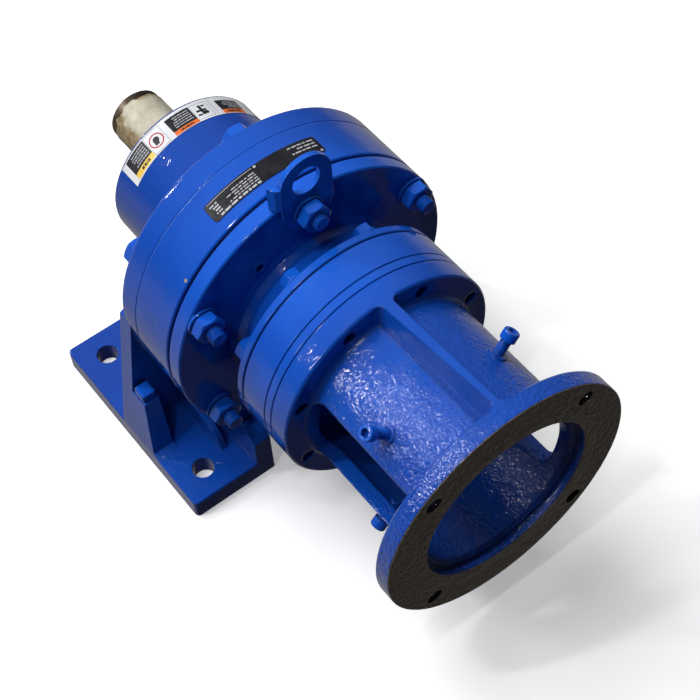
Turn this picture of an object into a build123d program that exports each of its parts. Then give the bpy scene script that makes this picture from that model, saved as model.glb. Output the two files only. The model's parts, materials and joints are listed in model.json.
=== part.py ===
from build123d import *
from math import cos, hypot, pi, radians, sin, sqrt
import os

# Foot-mounted, double-reduction cycloidal speed reducer with a lantern for a C-face motor.
# Millimetres. Origin: middle of the foot's four-bolt pattern, on the floor plane.
# +X runs along the shafts from the slow output end to the motor end, +Z is up.
os.makedirs("parts", exist_ok=True)

# ---------------------------------------------------------------- driving dimensions
CENTRE_HEIGHT = 120.0

# stations along the shaft axis
X_OUT_END = -139.0
X_NOSE_END = -78.0
X_CASING_REAR = -3.0
X_CASING_FRONT = 14.0
X_GEAR2_FRONT = 48.0
X_COVER_REAR = 49.8
X_COVER_FRONT = 61.0
X_SMALL_REAR = 86.5
X_SMALL_FRONT = 92.0
X_GEAR1_REAR = 92.9
X_GEAR1_FRONT = 113.8
X_BEARING_COVER = 114.2
X_LANTERN_REAR = 120.4
X_LANTERN_FLANGE = 135.0
X_WINDOW_END = 226.0
X_C_FLANGE = 230.0
X_C_FACE = 242.0
X_IN_END = 178.0

R_DRUM = 98.0
R_NOSE = 55.0
R_SMALL = 75.0
R_LANTERN = 60.0
R_LANTERN_BORE = 52.0
R_C_FLANGE = 85.0
R_REGISTER = 57.15
REGISTER_DEPTH = 5.5
C_BOLT_PCD = 149.2
C_BOLT_HOLE_R = 5.3

# foot
FOOT_PITCH_X = 115.0
FOOT_PITCH_Y = 190.0
FOOT_LENGTH = 155.0
FOOT_WIDTH = 230.0
FOOT_THICK = 15.0
FOOT_HOLE_R = 7.4
FOOT_WALL_OUT = 66.0
FOOT_WALL_IN = 54.0
WEB_HALF = 6.0

# slow stage: ring pins, two discs, output pins
LOBES_2 = 11
RING_R_2 = 70.0
RING_PIN_R_2 = 6.0
ECC_2 = 3.0
CAM_R_2 = 18.0
NEEDLE_R_2 = 3.0
DISC_2 = ((25.0, 34.5), (35.5, 45.0))
OUT_PIN_CIRCLE_2 = 42.0
OUT_PIN_COUNT_2 = 8
OUT_PIN_R_2 = 5.0
OUT_ROLLER_R_2 = 8.0

# fast stage
LOBES_1 = 11
RING_R_1 = 54.0
RING_PIN_R_1 = 4.5
ECC_1 = 2.0
CAM_R_1 = 12.0
NEEDLE_R_1 = 2.2
DISC_1 = ((95.0, 101.5), (102.5, 109.0))
OUT_PIN_CIRCLE_1 = 32.0
OUT_PIN_COUNT_1 = 6
OUT_PIN_R_1 = 3.5
OUT_ROLLER_R_1 = 5.5

STAGE_ANGLE = 15.0
MESH_GAP = 0.3
NEEDLE_GAP = 0.3
SLIP = 0.05

# through studs M10 and adapter bolts M8
THROUGH_CIRCLE = 88.0
THROUGH_COUNT = 6
THROUGH_START = 30.0
X_REAR_SEAT = -1.0
X_STUD_END = 79.0
ADAPTER_CIRCLE = 66.5
ADAPTER_COUNT = 8
ADAPTER_START = 22.5

# shafts
R_OUT_SHAFT = 19.0
R_IN_SHAFT = 9.0
KEY_ANGLE = 67.5
DRAIN_ANGLE = -72.0
DRAIN_X = 31.0

LUG_THICK = 3.5
LUG_EYE = (1.2, 112.0)
LUG_EYE_R = 9.5
LUG_HEAD_R = 17.5

# ---------------------------------------------------------------- helpers
# Turned parts are made about their own Z axis, then laid along the shaft axis:
# local x becomes +Y, local y becomes +Z and local z becomes +X.
SHAFT_AXIS = Plane(origin=(0, 0, CENTRE_HEIGHT), x_dir=(0, 1, 0), z_dir=(1, 0, 0))
LOW = (Align.CENTER, Align.CENTER, Align.MIN)
UP_ANGLE = 90.0


def rod(radius, start, end, at=(0.0, 0.0)):
    return Pos(at[0], at[1], start) * Cylinder(radius, end - start, align=LOW)


def tube(outer, inner, start, end, at=(0.0, 0.0)):
    return rod(outer, start, end, at) - rod(inner, start - 1, end + 1, at)


def turned(outline):
    points = [(radius, 0, station) for radius, station in outline]
    face = make_face(Polyline(*points, close=True))
    return revolve(face, Axis.Z, 360)


def polar(radius, angle):
    return (radius * cos(radians(angle)), radius * sin(radians(angle)))


def ring_of(count, radius, start=0.0):
    return [polar(radius, start + 360.0 * i / count) for i in range(count)]


def hexagon(flats, start, end, at=(0.0, 0.0), bevel_low=False, bevel_high=True):
    corner = flats / sqrt(3)
    prism = extrude(RegularPolygon(corner, 6), end - start)
    limit = Cylinder(corner, end - start, align=LOW)
    cut = corner - 0.47 * flats
    if bevel_high:
        limit = chamfer(limit.edges().group_by(Axis.Z)[-1], cut * 0.58, cut)
    if bevel_low:
        limit = chamfer(limit.edges().group_by(Axis.Z)[0], cut * 0.58, cut)
    return Pos(at[0], at[1], start) * (prism & limit)


def threaded_end(radius, start, end, pitch, depth):
    outline = [(0, start), (radius - depth, start)]
    count = int((end - start) / pitch)
    for i in range(count):
        outline.append((radius, start + pitch * (i + 0.35)))
        outline.append((radius, start + pitch * (i + 0.65)))
        outline.append((radius - depth, start + pitch * (i + 1)))
    outline.append((0, start + pitch * count))
    return turned(outline)


def sector(outer, inner, start, end, angle_low, angle_high):
    """Part of a tube between two angles, measured from +Y towards +Z."""
    reach = 4 * outer
    low = polar(reach, angle_low)
    middle = polar(reach, (angle_low + angle_high) / 2)
    high = polar(reach, angle_high)
    wedge = make_face(Polyline((0, 0), low, middle, high, close=True))
    wedge = Pos(0, 0, start - 1) * extrude(wedge, end - start + 2, dir=(0, 0, 1))
    return tube(outer, inner, start, end) & wedge


def slab_xz(outline, y_near, depth):
    """Plate whose outline is given as (x, z), from y_near towards -Y."""
    face = make_face(Plane.XZ * Polyline(*outline, close=True))
    return Pos(0, y_near, 0) * extrude(face, depth, dir=(0, -1, 0))


def slab_yz(outline, start, end):
    """Plate whose outline is given as (y, z), from start to end along X."""
    face = make_face(Plane.YZ * Polyline(*outline, close=True))
    return Pos(start, 0, 0) * extrude(face, end - start, dir=(1, 0, 0))


def radial(shape, angle, station):
    """Stands a Z-axis shape on the shaft axis so that it points outwards at the angle."""
    return Rot(0, 0, angle) * (Pos(0, 0, station) * (Rot(0, 90, 0) * shape))


def place(shape):
    return SHAFT_AXIS * shape


def gather(shapes):
    return Compound(children=list(shapes))


def save(name, shape):
    solids = shape.solids()
    result = solids[0] if len(solids) == 1 else Compound(children=list(solids))
    export_step(result, f"parts/{name}.step")


def fuse_all(shapes):
    result = shapes[0]
    for shape in shapes[1:]:
        result = result + shape
    return result


# ---------------------------------------------------------------- slow-speed casing and foot
def casing_body():
    flare = 10.0
    steps = 5
    outline = [(33.0, X_NOSE_END), (R_NOSE - 1.5, X_NOSE_END), (R_NOSE, X_NOSE_END + 1.5)]
    for i in range(steps + 1):
        a = radians(90.0 * i / steps)
        outline.append((R_NOSE + flare * (1 - cos(a)), X_CASING_REAR - flare * (1 - sin(a))))
    edge = 4.0
    for i in range(steps + 1):
        a = radians(90.0 * i / steps)
        outline.append((R_DRUM - edge * (1 - sin(a)), X_CASING_REAR + edge * (1 - cos(a))))
    outline += [
        (R_DRUM, X_CASING_FRONT - 0.3),
        (R_DRUM - 0.3, X_CASING_FRONT),
        (74.0, X_CASING_FRONT),
        (74.0, 3.0),
        (50.0, 3.0),
        (50.0, -18.0),
        (44.0, -18.0),
        (44.0, -47.0),
        (42.5, -47.0),
        (42.5, -66.0),
        (36.0, -66.0),
        (36.0, -68.0),
        (33.0, -68.0),
    ]
    return turned(outline)


def foot_half():
    """The foot on the -Y side: pad, inner wall, cross web, fin and outer gusset."""
    half_x = FOOT_LENGTH / 2
    half_y = FOOT_WIDTH / 2
    pad = Box(
        FOOT_LENGTH,
        half_y - FOOT_WALL_IN,
        FOOT_THICK,
        align=(Align.CENTER, Align.MIN, Align.MIN),
    )
    pad = Pos(0, -half_y, 0) * pad
    pad = fillet(pad.edges().filter_by(Axis.Z).sort_by(Axis.Y)[:2], 3.5)
    pad = chamfer(pad.faces().sort_by(Axis.Z)[-1].edges().sort_by(Axis.Y)[:1], 0.8)

    wall_outline = [
        (-half_x, 0),
        (half_x, 0),
        (half_x, 37),
        (half_x - 4, 41),
        (20, 56),
        (-8, 56),
        (-half_x + 12, 30),
        (-half_x, 24),
    ]
    wall = slab_xz(wall_outline, -FOOT_WALL_IN, FOOT_WALL_OUT - FOOT_WALL_IN)

    web_outline = [
        (-40, 60),
        (-FOOT_WALL_IN, 40),
        (-FOOT_WALL_IN, 10),
        (-half_y, 10),
        (-half_y, FOOT_THICK),
        (-R_DRUM, CENTRE_HEIGHT),
        (-R_DRUM + 14, CENTRE_HEIGHT + 8),
    ]
    web = slab_yz(web_outline, -WEB_HALF, WEB_HALF)

    fin_outline = [
        (-4, 10),
        (55, 10),
        (54.8, FOOT_THICK),
        (50.5, 24.7),
        (46, 29.2),
        (38.5, 31),
        (-4, 33),
    ]
    fin = slab_xz(fin_outline, -74, 4)

    lean = (half_y - R_DRUM) / (CENTRE_HEIGHT - FOOT_THICK)
    gusset_top = 56.0
    gusset_run = 36.0
    outer_top = -half_y + lean * (gusset_top - FOOT_THICK)
    gusset_outline = [
        (-half_y + 15, 10),
        (-half_y, 10),
        (-half_y, FOOT_THICK),
        (outer_top, gusset_top),
        (outer_top + 11, gusset_top),
    ]
    gusset = slab_yz(gusset_outline, 0, gusset_run)
    slope_outline = [
        (0, 0),
        (gusset_run, 0),
        (gusset_run, FOOT_THICK),
        (30, FOOT_THICK + 2),
        (20, gusset_top),
        (0, gusset_top),
    ]
    gusset = gusset & slab_xz(slope_outline, 0, 200)
    boss = Pos(13.5, outer_top + 5.5, gusset_top - 2) * Box(11, 10, 9, align=LOW)
    boss = fillet(boss.edges().filter_by(Axis.Z) + boss.edges().group_by(Axis.Z)[-1], 1.5)
    return fuse_all([pad, wall, web, fin, gusset, boss])


def slow_casing():
    left = foot_half()
    feet = left + mirror(left, Plane.XZ)
    # the foot stays clear of the ring housing and cover that stand over it
    feet = feet - place(rod(R_DRUM + 1.2, X_CASING_FRONT, X_COVER_FRONT + 0.8))
    # nothing of the foot reaches into the bored inside
    feet = feet - place(rod(R_DRUM - 3.0, X_CASING_REAR + 4, X_CASING_FRONT))
    body = place(casing_body()) + feet
    holes = [rod(5.5, X_CASING_REAR - 1, X_CASING_FRONT + 1, p) for p in through_places()]
    faced = [rod(11.5, X_CASING_REAR - 6, X_REAR_SEAT, p) for p in through_places()]
    body = body - place(gather(holes)) - place(gather(faced))
    for x in (-FOOT_PITCH_X / 2, FOOT_PITCH_X / 2):
        for y in (-FOOT_PITCH_Y / 2, FOOT_PITCH_Y / 2):
            body = body - Pos(x, y, -1) * Cylinder(FOOT_HOLE_R, FOOT_THICK + 5, align=LOW)
    return body


# ---------------------------------------------------------------- stage parts
def disc_outline(lobes, ring_r, pin_r, offset):
    """Curve that keeps a constant gap to every ring pin while the disc rolls round."""
    points = []
    count = lobes * 12
    for i in range(count):
        s = 2 * pi * i / count
        k = lobes + 1
        x = ring_r * cos(s) - offset * cos(k * s)
        y = ring_r * sin(s) - offset * sin(k * s)
        tx = -ring_r * sin(s) + offset * k * sin(k * s)
        ty = ring_r * cos(s) - offset * k * cos(k * s)
        length = hypot(tx, ty)
        points.append((x - pin_r * ty / length, y + pin_r * tx / length))
    return points


def cycloid_disc(lobes, ring_r, pin_r, offset, bore, hole_circle, hole_count, hole_r, span):
    curve = Spline(*disc_outline(lobes, ring_r, pin_r + MESH_GAP, offset), periodic=True)
    disc = extrude(make_face(curve), span[1] - span[0])
    disc = disc - rod(bore, -1, 30)
    for p in ring_of(hole_count, hole_circle):
        disc = disc - rod(hole_r, -1, 30, p)
    return Pos(offset, 0, span[0]) * disc


def ring_pins(count, circle, radius, start, end):
    pins = [rod(radius, start, end, p) for p in ring_of(count, circle)]
    return [chamfer(pin.edges(), 0.4) for pin in pins]


def turn(shape, angle):
    return Rot(0, 0, angle) * shape


def stage_two_disc(index):
    disc = cycloid_disc(
        LOBES_2,
        RING_R_2,
        RING_PIN_R_2,
        ECC_2,
        CAM_R_2 + 2 * (NEEDLE_R_2 + NEEDLE_GAP),
        OUT_PIN_CIRCLE_2,
        OUT_PIN_COUNT_2,
        OUT_ROLLER_R_2 + ECC_2 + MESH_GAP,
        DISC_2[index],
    )
    return turn(disc, STAGE_ANGLE + 180 * index)


def stage_one_disc(index):
    disc = cycloid_disc(
        LOBES_1,
        RING_R_1,
        RING_PIN_R_1,
        ECC_1,
        CAM_R_1 + 2 * (NEEDLE_R_1 + NEEDLE_GAP),
        OUT_PIN_CIRCLE_1,
        OUT_PIN_COUNT_1,
        OUT_ROLLER_R_1 + ECC_1 + MESH_GAP,
        DISC_1[index],
    )
    return turn(disc, STAGE_ANGLE + 180 * index)


def needles(cam_r, needle_r, offset, spans, count):
    rollers = []
    pitch = cam_r + NEEDLE_GAP + needle_r
    for index, span in enumerate(spans):
        side = STAGE_ANGLE + 180 * index
        cx, cy = polar(offset, side)
        for px, py in ring_of(count, pitch):
            roller = rod(needle_r, span[0] + 0.3, span[1] - 0.3, (cx + px, cy + py))
            rollers.append(roller)
    return gather(rollers)


def cams(cam_r, offset, spans):
    first, second = spans
    middle = (first[1] + second[0]) / 2
    a = rod(cam_r, first[0] - 0.5, middle, polar(offset, STAGE_ANGLE))
    b = rod(cam_r, middle, second[1] + 0.5, polar(offset, STAGE_ANGLE + 180))
    return a + b


# ---------------------------------------------------------------- bearings
BALL_GAP = 0.25


def ball_bearing(bore, outer, ball_r, start, width, ball_count):
    """Outer ring, inner ring, and the caged row of balls."""
    pitch = (bore + outer) / 2
    land = 0.6 * ball_r
    middle = start + width / 2
    groove = Pos(0, 0, middle) * Torus(pitch, ball_r + BALL_GAP)
    race = tube(outer, pitch + land, start, start + width)
    race = chamfer(race.edges().filter_by(GeomType.CIRCLE).group_by(SortBy.LENGTH)[-1], 0.6) - groove
    inner = tube(pitch - land, bore, start, start + width)
    inner = chamfer(inner.edges().filter_by(GeomType.CIRCLE).group_by(SortBy.LENGTH)[0], 0.6) - groove
    cage = tube(pitch + 0.3 * ball_r, pitch - 0.3 * ball_r, middle - 1.2 * ball_r, middle + 1.2 * ball_r)
    balls = []
    for i in range(ball_count):
        angle = 360.0 * i / ball_count
        x, y = polar(pitch, angle)
        cage = cage - radial(rod(ball_r + 0.15, pitch - ball_r, pitch + ball_r), angle, middle)
        balls.append(Pos(x, y, middle) * Sphere(ball_r))
    return race, inner, gather([cage] + balls)


# ---------------------------------------------------------------- fasteners
WASHER_THICK = 2.0


def through_places():
    return ring_of(THROUGH_COUNT, THROUGH_CIRCLE, THROUGH_START)


def adapter_places():
    return ring_of(ADAPTER_COUNT, ADAPTER_CIRCLE, ADAPTER_START)


def is_top(place_xy):
    return place_xy[1] > THROUGH_CIRCLE - 1


def through_bolt(at):
    """Stud with its rear nut set for good in the spot face of the casing."""
    set_nut = Pos(0, 0, X_REAR_SEAT) * (Rot(0, 180, 0) * hexagon(17, 0, 7.2))
    rear_end = X_REAR_SEAT - 10.0
    thread_start = 70.0
    stud = rod(5.0, rear_end, thread_start) + set_nut
    stud = stud + threaded_end(5.0, thread_start, X_STUD_END, 1.5, 0.85)
    stud = chamfer(stud.edges().filter_by(GeomType.CIRCLE).sort_by(Axis.Z)[0], 0.8)
    return Pos(at[0], at[1], 0) * stud


def nut_face(at):
    return X_COVER_FRONT + (LUG_THICK if is_top(at) else 0.0)


def through_washer(at):
    start = nut_face(at)
    ring = tube(10.2, 5.4, start, start + WASHER_THICK, at)
    return chamfer(ring.edges().group_by(Axis.Z)[-1], 0.4)


def through_nut(at):
    start = nut_face(at) + WASHER_THICK
    nut = hexagon(17, start, start + 8.4, at, bevel_low=True)
    return nut - rod(5.1, start - 1, start + 10, at)


def adapter_bolt(at):
    collar = 1.6
    head = Pos(0, 0, X_SMALL_REAR - collar) * (Rot(0, 180, 0) * hexagon(13, 0, 6.4))
    bolt = rod(4.0, X_SMALL_REAR, 131.0) + rod(7.9, X_SMALL_REAR - collar, X_SMALL_REAR) + head
    bolt = chamfer(bolt.edges().filter_by(GeomType.CIRCLE).sort_by(Axis.Z)[-1], 0.8)
    return Pos(at[0], at[1], 0) * bolt


# each access screw: its angle round the lantern, and the radius that its head's top stands at
ACCESS_X = 187.0
ACCESS_SCREWS = [(51.5, 77.0), (133.5, 80.5), (223.5, 71.0), (312.0, 78.0)]
ACCESS_BOSS_R = 5.8


def access_screw(angle, top):
    """Socket-head screw standing out of its boss, each one turned in to its own depth."""
    inner_end = 50.5
    head_high = 6.0
    head = fillet(rod(4.9, 0, head_high).edges().group_by(Axis.Z)[-1], 0.8)
    head = head - extrude(Pos(0, 0, head_high - 3.5) * RegularPolygon(5 / sqrt(3), 6), 5)
    thread = threaded_end(3.3, -10.5, -0.5, 1.0, 0.5)
    seat = top - head_high
    screw = fuse_all([head, rod(3.3, inner_end - seat, -10.0), thread, rod(2.8, -1.0, 0.5)])
    return radial(Pos(0, 0, seat) * screw, angle, ACCESS_X)


# ---------------------------------------------------------------- covers and motor lantern
def gear_housing_two():
    start = X_CASING_FRONT + 0.6
    shell = turned([
        (72.0, start),
        (R_DRUM - 0.3, start),
        (R_DRUM, start + 0.3),
        (R_DRUM, X_GEAR2_FRONT - 1.2),
        (R_DRUM - 0.4, X_GEAR2_FRONT - 0.4),
        (R_DRUM - 1.2, X_GEAR2_FRONT),
        (72.0, X_GEAR2_FRONT),
    ])
    for p in through_places():
        shell = shell - rod(5.5, start - 1, X_GEAR2_FRONT + 1, p)
    for p in ring_of(LOBES_2 + 1, RING_R_2, STAGE_ANGLE):
        shell = shell - rod(RING_PIN_R_2 + SLIP, start - 1, X_GEAR2_FRONT + 1, p)
    return shell - radial(rod(6.0, 88.0, 110.0), DRAIN_ANGLE, DRAIN_X)


def gear_housing_one():
    shell = turned([
        (56.0, X_GEAR1_REAR),
        (R_SMALL - 0.6, X_GEAR1_REAR),
        (R_SMALL, X_GEAR1_REAR + 0.6),
        (R_SMALL, X_GEAR1_FRONT - 0.4),
        (R_SMALL - 0.4, X_GEAR1_FRONT),
        (56.0, X_GEAR1_FRONT),
    ])
    for p in adapter_places():
        shell = shell - rod(4.3, X_GEAR1_REAR - 1, X_GEAR1_FRONT + 1, p)
    for p in ring_of(LOBES_1 + 1, RING_R_1, STAGE_ANGLE):
        shell = shell - rod(RING_PIN_R_1 + SLIP, X_GEAR1_REAR - 1, X_GEAR1_FRONT + 1, p)
    return shell


PLUG_AT = polar(68.7, 120.0)


def cover_flange():
    body = turned([
        (26.0, X_COVER_REAR),
        (R_DRUM - 1.2, X_COVER_REAR),
        (R_DRUM - 0.4, X_COVER_REAR + 0.4),
        (R_DRUM, X_COVER_REAR + 1.2),
        (R_DRUM, X_COVER_FRONT - 1.0),
        (R_DRUM - 1.0, X_COVER_FRONT),
        (62.0, X_COVER_FRONT),
        (57.5, X_COVER_FRONT + 1.4),
        (56.0, X_COVER_FRONT + 6.0),
        (56.0, X_SMALL_REAR),
        (R_SMALL - 0.8, X_SMALL_REAR),
        (R_SMALL, X_SMALL_REAR + 0.8),
        (R_SMALL, X_SMALL_FRONT - 0.6),
        (R_SMALL - 0.6, X_SMALL_FRONT),
        (46.0, X_SMALL_FRONT),
        (46.0, 77.5),
        (31.0, 77.5),
        (31.0, 60.0),
        (26.0, 60.0),
    ])
    for p in through_places():
        body = body - rod(5.5, X_COVER_REAR - 1, X_COVER_FRONT + 1, p)
    for p in adapter_places():
        body = body - rod(4.4, X_SMALL_REAR - 1, X_SMALL_FRONT + 1, p)
    return body - rod(5.5, X_COVER_FRONT - 8, X_COVER_FRONT + 1, PLUG_AT)


def bearing_cover():
    body = turned([
        (20.0, X_BEARING_COVER),
        (R_SMALL - 0.4, X_BEARING_COVER),
        (R_SMALL, X_BEARING_COVER + 0.4),
        (R_SMALL, X_LANTERN_REAR - 0.8),
        (R_SMALL - 0.4, X_LANTERN_REAR - 0.4),
        (36.0, X_LANTERN_REAR - 0.4),
        (33.0, 121.5),
        (33.0, 136.0),
        (17.0, 136.0),
        (17.0, 129.5),
        (23.5, 129.5),
        (23.5, 115.4),
        (20.0, 115.4),
    ])
    for p in adapter_places():
        body = body - rod(4.3, X_BEARING_COVER - 1, X_LANTERN_REAR + 1, p)
    return body


def motor_adapter():
    rear = X_LANTERN_REAR
    body = turned([
        (R_LANTERN_BORE, rear),
        (R_SMALL - 0.4, rear),
        (R_SMALL, rear + 0.4),
        (R_SMALL, X_LANTERN_FLANGE),
        (R_C_FLANGE, X_C_FLANGE),
        (R_C_FLANGE, X_C_FACE - 0.6),
        (R_C_FLANGE - 0.6, X_C_FACE),
        (R_REGISTER + 0.8, X_C_FACE),
        (R_REGISTER, X_C_FACE - 0.8),
        (R_REGISTER, X_C_FACE - REGISTER_DEPTH),
        (54.0, X_C_FACE - REGISTER_DEPTH),
        (R_LANTERN_BORE, X_C_FACE - REGISTER_DEPTH - 2.5),
    ])
    body = body - pockets()

    window = window_cutter()
    body = body - window - Rot(0, 0, 180) * window

    for p in adapter_places():
        body = body - rod(4.3, rear - 1, X_LANTERN_FLANGE + 1, p)
    for p in ring_of(4, C_BOLT_PCD / 2, 45.0):
        body = body - rod(C_BOLT_HOLE_R, X_C_FACE - 13, X_C_FACE + 1, p)
    for angle, _ in ACCESS_SCREWS:
        spot = radial(rod(ACCESS_BOSS_R, R_LANTERN - 3, R_LANTERN + 1.0), angle, ACCESS_X)
        body = body + spot
        body = body - radial(rod(3.35, 40.0, 70.0), angle, ACCESS_X)
    return body


def pockets():
    """Everything cut away between the two flanges round the barrel, except the two ribs."""
    foot_round = 3.0
    reach = 89.0
    length = X_C_FLANGE - X_LANTERN_FLANGE
    middle = X_LANTERN_FLANGE + length / 2

    ring = tube(reach, R_LANTERN, X_LANTERN_FLANGE, X_C_FLANGE)
    ring = fillet(ring.edges().filter_by(GeomType.CIRCLE).group_by(SortBy.LENGTH)[0], foot_round)
    lip = 1.3
    rear_lip = turned([
        (R_SMALL - lip, X_LANTERN_FLANGE + 0.1),
        (R_SMALL + 0.1, X_LANTERN_FLANGE - lip - 0.1),
        (reach, X_LANTERN_FLANGE - lip - 0.1),
        (reach, X_LANTERN_FLANGE + 0.1),
    ])
    front_lip = turned([
        (R_C_FLANGE - lip, X_C_FLANGE - 0.1),
        (R_C_FLANGE + 0.1, X_C_FLANGE + lip + 0.1),
        (reach, X_C_FLANGE + lip + 0.1),
        (reach, X_C_FLANGE - 0.1),
    ])

    # cast draft: each rib is wider where it stands on the barrel than at its crest
    sections = [rib_section(length, middle, at, half) for at, half in RIB_DRAFT]
    rib = loft(sections, ruled=True)
    return (ring + rear_lip + front_lip) - rib - Rot(0, 0, 180) * rib


# half the width of a rib at two radii
RIB_DRAFT = [(57.0, 6.7), (91.0, 0.9)]


def rib_section(length, middle, radius, half):
    """Plan of a rib at one radius: straight sides that round outwards into both flanges."""
    corner = 4.0
    plan = Rectangle(length + 8, 2 * half + 2 * corner)
    side = fillet(Rectangle(length, 4 * corner).vertices(), corner)
    offset = half + 2 * corner
    plan = plan - Pos(0, offset) * side - Pos(0, -offset) * side
    stand = Plane(origin=(0, radius, middle), x_dir=(0, 0, 1), z_dir=(0, 1, 0))
    return stand * plan.face()


def window_cutter():
    """Side window seen square on: rounded at its four corners, cut from the axis outwards."""
    half_angle = 30.0
    half_height = R_LANTERN * sin(radians(half_angle))
    start = X_LANTERN_FLANGE + 1.0
    length = X_WINDOW_END - start
    plan = Rectangle(length, 2 * half_height)
    plan = fillet(plan.vertices(), 9.0)
    block = extrude(plan, 100)
    stand = Plane(origin=(10, 0, start + length / 2), x_dir=(0, 0, 1), z_dir=(1, 0, 0))
    return stand * block


# ---------------------------------------------------------------- trim
def lifting_lug():
    """Pressed plate under the top nut, with its left edge bent back over the rim."""
    across, up = LUG_EYE
    half = LUG_HEAD_R
    base = THROUGH_CIRCLE - 12.0
    plate = rod(half, 0, LUG_THICK, LUG_EYE)
    shank = [
        (across - half, up),
        (across - half, THROUGH_CIRCLE),
        (across - 11, base),
        (across + 11, base),
        (across + half, THROUGH_CIRCLE),
        (across + half, up),
    ]
    plate = plate + extrude(make_face(Polyline(*shank, close=True)), LUG_THICK)
    plate = plate - rod(LUG_EYE_R, -1, LUG_THICK + 1, LUG_EYE)
    plate = plate - rod(5.5, -1, LUG_THICK + 1, (0, THROUGH_CIRCLE))

    # the bent ear, as (station, sideways) points, standing just above the rim
    edge = across - half
    ear_low, ear_high = R_DRUM - 0.7, up + 3.0
    outline = [
        (0, edge + 3.0),
        (LUG_THICK, edge + 3.0),
        (LUG_THICK, edge + 0.5),
        (LUG_THICK - 2.2, edge - 2.6),
        (-3.6, edge - 4.8),
        (-4.4, edge - 1.2),
        (-0.8, edge + 0.2),
    ]
    face = make_face(Polyline(*outline, close=True))
    face = fillet(face.vertices().sort_by(Axis.X)[3:5], 0.8)
    stand = Plane(origin=(0, ear_low, 0), x_dir=(0, 0, 1), z_dir=(0, 1, 0))
    ear = stand * extrude(face, ear_high - ear_low, dir=(0, 0, 1))
    return Pos(0, 0, X_COVER_FRONT) * (plate + ear)


def nameplate():
    """Thin plate bent round the gear housing, with rounded corners."""
    middle_angle, half_angle = 94.0, 23.5
    length = 2 * R_DRUM * sin(radians(half_angle))
    plan = RectangleRounded(14.0, length, 2.0)
    block = radial(Pos(0, 0, 60) * extrude(plan, 60), middle_angle, 32.5)
    return tube(R_DRUM + 0.5, R_DRUM + 0.02, 20.0, 45.0) & block


def socket_plug(radius, length, flats):
    plug = rod(radius, 0, length)
    plug = chamfer(plug.edges().group_by(Axis.Z)[-1], 0.5)
    return plug - extrude(Pos(0, 0, length - 4) * RegularPolygon(flats / sqrt(3), 6), 5)


def output_shaft():
    body = turned([
        (0, X_OUT_END),
        (R_OUT_SHAFT - 1.5, X_OUT_END),
        (R_OUT_SHAFT, X_OUT_END + 1.5),
        (R_OUT_SHAFT, X_NOSE_END),
        (20.0, X_NOSE_END),
        (20.0, -66.0),
        (22.5, -66.0),
        (22.5, -47.0),
        (24.0, -47.0),
        (24.0, -18.0),
        (27.5, -18.0),
        (27.5, 3.0),
        (33.0, 3.0),
        (33.0, 6.0),
        (54.0, 6.0),
        (54.0, 20.0),
        (14.0, 20.0),
        (14.0, 6.0),
        (0, 6.0),
    ])
    centre_hole = Pos(0, 0, X_OUT_END + 3) * Cone(4.0, 0.01, 6.0)
    body = body - centre_hole - rod(2.5, X_OUT_END - 1, X_OUT_END + 14)
    key_length = 40.0
    keyway = Box(10.0, 10.0, key_length, align=LOW)
    body = body - turn(Pos(0, R_OUT_SHAFT, X_OUT_END + 8) * keyway, KEY_ANGLE - UP_ANGLE)
    for p in ring_of(OUT_PIN_COUNT_2, OUT_PIN_CIRCLE_2, STAGE_ANGLE):
        body = body - rod(OUT_PIN_R_2 + SLIP, 5, 21, p)
    return body


def intermediate_shaft():
    body = turned([
        (0, 7.0),
        (9.2, 7.0),
        (10.0, 7.8),
        (10.0, 22.0),
        (14.0, 22.0),
        (14.0, 46.0),
        (15.0, 46.0),
        (15.0, 76.0),
        (17.0, 76.0),
        (17.0, 79.5),
        (41.0, 79.5),
        (41.0, 90.5),
        (11.0, 90.5),
        (11.0, 80.5),
        (0, 80.5),
    ])
    body = body + cams(CAM_R_2, ECC_2, DISC_2)
    for p in ring_of(OUT_PIN_COUNT_1, OUT_PIN_CIRCLE_1, STAGE_ANGLE):
        body = body - rod(OUT_PIN_R_1 + SLIP, 79, 91, p)
    return body


KEY_WIDTH = 6.0
KEY_SPAN = (144.0, 172.0)


def input_shaft():
    body = turned([
        (0, 81.5),
        (7.4, 81.5),
        (8.0, 82.1),
        (8.0, 93.5),
        (9.0, 93.5),
        (9.0, 110.0),
        (12.0, 110.0),
        (12.0, 115.4),
        (10.0, 115.4),
        (10.0, 137.0),
        (R_IN_SHAFT, 138.0),
        (R_IN_SHAFT, X_IN_END - 1.0),
        (R_IN_SHAFT - 1.0, X_IN_END),
        (0, X_IN_END),
    ])
    body = body + cams(CAM_R_1, ECC_1, DISC_1)
    return body - key_blank(KEY_SPAN[0], KEY_SPAN[1])


def key_blank(start, end):
    blank = Box(KEY_WIDTH, KEY_WIDTH, end - start, align=LOW)
    blank = fillet(blank.edges().filter_by(Axis.Y), KEY_WIDTH / 2 - 0.01)
    return turn(Pos(0, R_IN_SHAFT - 0.5, start) * blank, KEY_ANGLE - UP_ANGLE)


# ---------------------------------------------------------------- write the parts
save("slow_casing", slow_casing())
save("gear_housing_slow", place(gear_housing_two()))
save("gear_housing_fast", place(gear_housing_one()))
save("cover_flange", place(cover_flange()))
save("bearing_cover", place(bearing_cover()))
save("motor_adapter", place(motor_adapter()))

pins_two = ring_pins(LOBES_2 + 1, RING_R_2, RING_PIN_R_2, 15.2, 47.8)
save("ring_pins_slow", place(turn(gather(pins_two), STAGE_ANGLE)))
pins_one = ring_pins(LOBES_1 + 1, RING_R_1, RING_PIN_R_1, 93.4, 112.9)
save("ring_pins_fast", place(turn(gather(pins_one), STAGE_ANGLE)))

for index, letter in enumerate("ab"):
    save(f"slow_disc_{letter}", place(stage_two_disc(index)))
    save(f"fast_disc_{letter}", place(stage_one_disc(index)))

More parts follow.
